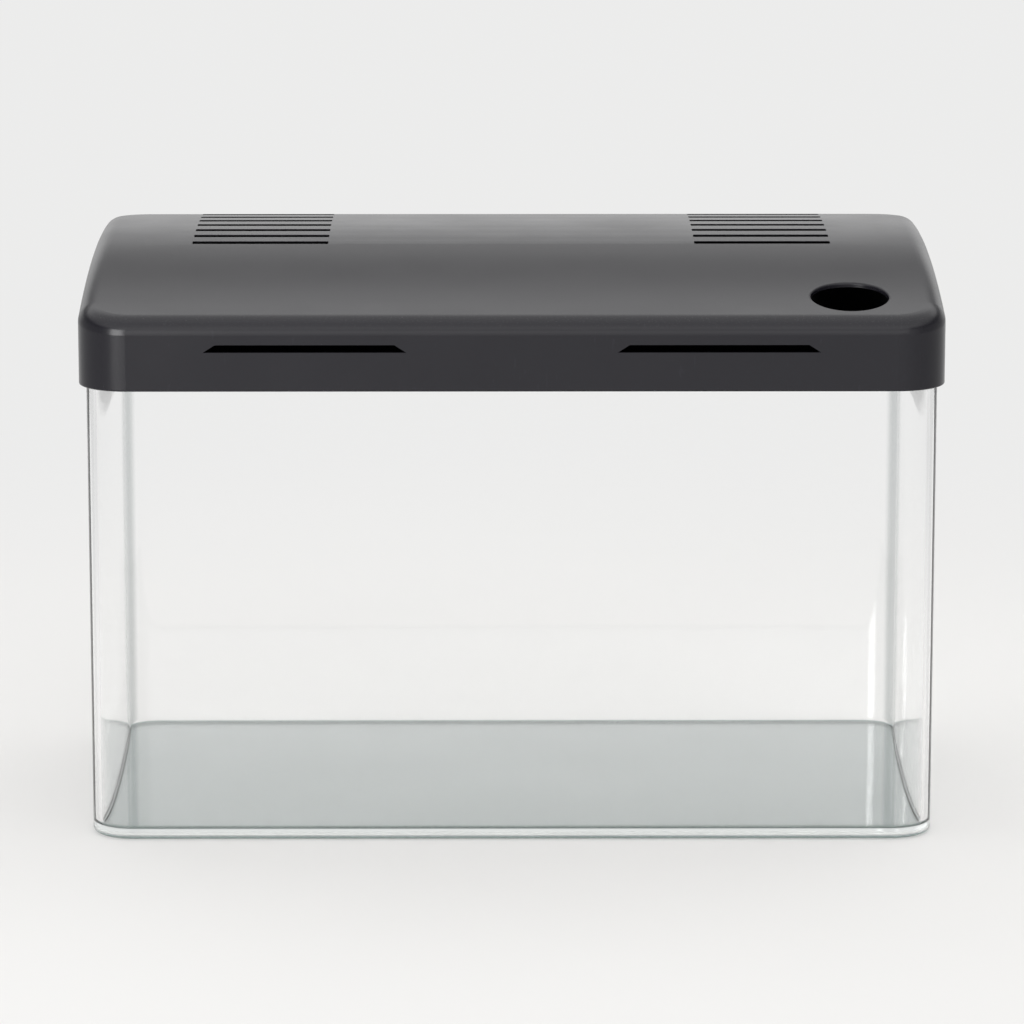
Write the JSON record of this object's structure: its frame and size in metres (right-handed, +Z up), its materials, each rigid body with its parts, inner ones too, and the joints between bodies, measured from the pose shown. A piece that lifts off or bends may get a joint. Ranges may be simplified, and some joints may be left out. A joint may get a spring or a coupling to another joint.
{
  "type": "desktop aquarium",
  "caption": "Clear rectangular moulded tank with round upright corners under a dark arched lift-off hood with vent grilles, a feed hole, front slots and a switched lamp.",
  "frame": {"origin": "middle of the flat face that the tank stands on", "axes": "+X to the right as seen from the front, along the length; -Y to the front; +Z up"},
  "size_m": [0.407, 0.2313, 0.2694],
  "materials": {
    "tank_clear": "clear polished, one piece",
    "hood_plastic": "dark grey satin moulding",
    "clear_pad": "soft translucent silicone",
    "lamp_plastic": "black moulding",
    "lamp_board_metal": "white coated aluminium board",
    "led_face": "yellow phosphor in a white cup",
    "connector_plastic": "off-white nylon",
    "black_rubber": "soft black rubber",
    "lens_clear": "frosted clear plastic",
    "screw_steel": "stainless steel",
    "board_green": "green board with a solder mask",
    "capacitor_can": "sleeved aluminium can",
    "inductor_copper": "copper winding on a bobbin",
    "chip_black": "black moulded chip",
    "terminal_green": "green terminal block",
    "jack_plastic": "black moulding",
    "contact_metal": "plated brass",
    "switch_plastic": "black gloss moulding",
    "spring_steel": "spring steel wire",
    "sleeve_plastic": "milky insulating sleeve",
    "red_wire": "red insulation",
    "black_wire": "black insulation"
  },
  "bodies": {
    "tank": {"tank_shell": "tank_clear"},
    "hood": {"hood_shell": "hood_plastic", "rim_pads": "clear_pad", "lamp_tray": "lamp_plastic", "lamp_board": "lamp_board_metal", "lamp_leds": "led_face", "lamp_connector": "connector_plastic", "lamp_gasket": "black_rubber", "lamp_lens": "lens_clear", "lamp_frame": "lamp_plastic", "frame_screws": "screw_steel", "tray_screws": "screw_steel", "board_screws": "screw_steel", "lamp_grommet": "black_rubber", "driver_case": "lamp_plastic", "driver_cover": "lamp_plastic", "driver_gasket": "black_rubber", "cover_screws": "screw_steel", "case_screws": "screw_steel", "driver_board": "board_green", "driver_board_screws": "screw_steel", "driver_capacitor": "capacitor_can", "driver_inductor": "inductor_copper", "driver_chip": "chip_black", "driver_terminals": "terminal_green", "driver_grommets": "black_rubber", "dc_jack_body": "jack_plastic", "dc_jack_pin": "contact_metal", "dc_jack_seal": "black_rubber", "dc_jack_nut": "jack_plastic", "dc_jack_blades": "contact_metal", "switch_housing": "switch_plastic", "switch_blades": "contact_metal", "blade_sleeves": "sleeve_plastic", "supply_lead": "red_wire", "switched_lead": "red_wire", "return_lead": "black_wire", "lamp_lead": "black_wire"},
    "rocker": {"switch_rocker": "switch_plastic", "switch_plunger": "contact_metal", "switch_spring": "spring_steel"},
    "contact": {"switch_contact": "contact_metal"}
  },
  "joints": [
    {"name": "hood_lift", "type": "slide", "parent": "tank", "child": "hood", "axis": [0, 0, 1], "range_m": [0, 0.08]},
    {"name": "rocker_tip", "type": "hinge", "parent": "hood", "child": "rocker", "pos_m": [0.07, 0.112, 0.245], "axis": [1, 0, 0], "range_deg": [0, 22]},
    {"name": "contact_tip", "type": "hinge", "parent": "hood", "child": "contact", "pos_m": [0.07, 0.1044, 0.245], "axis": [1, 0, 0], "range_deg": [-14.7, 1.5]}
  ],
  "couplings": [
    {"joint": "contact_tip", "follows": "rocker_tip", "ratio": -0.6}
  ]
}
